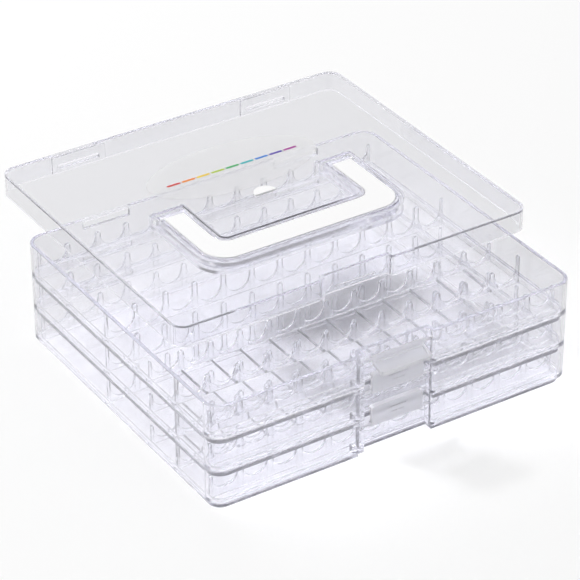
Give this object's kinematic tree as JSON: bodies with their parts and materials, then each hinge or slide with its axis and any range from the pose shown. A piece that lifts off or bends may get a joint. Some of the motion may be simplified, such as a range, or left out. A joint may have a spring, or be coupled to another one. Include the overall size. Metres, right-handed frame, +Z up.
{
  "type": "marker storage case",
  "caption": "Flat case of stacked clear trays with a row of cradles for pens in each, hinged latches in a front recess, and a lid with a folding carrying handle.",
  "frame": {"origin": "centre of the underside of the bottom tray's foot", "axes": "+X to the right seen from the latch side, across the row of pens; +Y from the latches to the back; +Z up"},
  "size_m": [0.2429, 0.2645, 0.0802],
  "materials": {
    "clear_plastic": "clear moulded polystyrene",
    "frosted_plastic": "frosted moulded polypropylene",
    "white_plastic": "plain"
  },
  "bodies": {
    "bottom_tray": {"tray_bottom": "clear_plastic", "comb_bottom_front": "clear_plastic", "comb_bottom_mid_front": "clear_plastic", "comb_bottom_mid": "clear_plastic", "comb_bottom_mid_back": "clear_plastic", "comb_bottom_back": "clear_plastic"},
    "middle_tray": {"tray_middle": "clear_plastic", "comb_middle_front": "clear_plastic", "comb_middle_mid_front": "clear_plastic", "comb_middle_mid": "clear_plastic", "comb_middle_mid_back": "clear_plastic", "comb_middle_back": "clear_plastic"},
    "top_tray": {"tray_top": "clear_plastic", "comb_top_front": "clear_plastic", "comb_top_mid_front": "clear_plastic", "comb_top_mid": "clear_plastic", "comb_top_mid_back": "clear_plastic", "comb_top_back": "clear_plastic"},
    "latch_bottom": {"latch_bottom": "frosted_plastic"},
    "latch_middle": {"latch_middle": "frosted_plastic"},
    "latch_top": {"latch_top": "frosted_plastic"},
    "lid": {"lid": "clear_plastic", "handle_pins": "white_plastic", "half_round_pad": "white_plastic"},
    "handle": {"handle": "clear_plastic", "handle_inlay": "white_plastic"}
  },
  "joints": [
    {"name": "tray_middle_lift", "type": "slide", "parent": "bottom_tray", "child": "middle_tray", "axis": [0, 0, 1], "range_m": [0, 0.04]},
    {"name": "tray_top_lift", "type": "slide", "parent": "middle_tray", "child": "top_tray", "axis": [0, 0, 1], "range_m": [0, 0.04]},
    {"name": "lid_slide", "type": "slide", "parent": "top_tray", "child": "lid", "axis": [0.2177, 0.976, 0], "range_m": [-0.05697, 0]},
    {"name": "handle_fold", "type": "hinge", "parent": "lid", "child": "handle", "pos_m": [0.0124, 0.0601, 0.07545], "axis": [-1, 0, 0], "range_deg": [0, 90]},
    {"name": "latch_bottom_swing", "type": "hinge", "parent": "bottom_tray", "child": "latch_bottom", "pos_m": [0, -0.0984, 0.019], "axis": [1, 0, 0], "range_deg": [0, 118]},
    {"name": "latch_middle_swing", "type": "hinge", "parent": "middle_tray", "child": "latch_middle", "pos_m": [0, -0.0984, 0.0396], "axis": [1, 0, 0], "range_deg": [0, 118]},
    {"name": "latch_top_swing", "type": "hinge", "parent": "top_tray", "child": "latch_top", "pos_m": [0, -0.0984, 0.0602], "axis": [1, 0, 0], "range_deg": [-112, 0]}
  ]
}
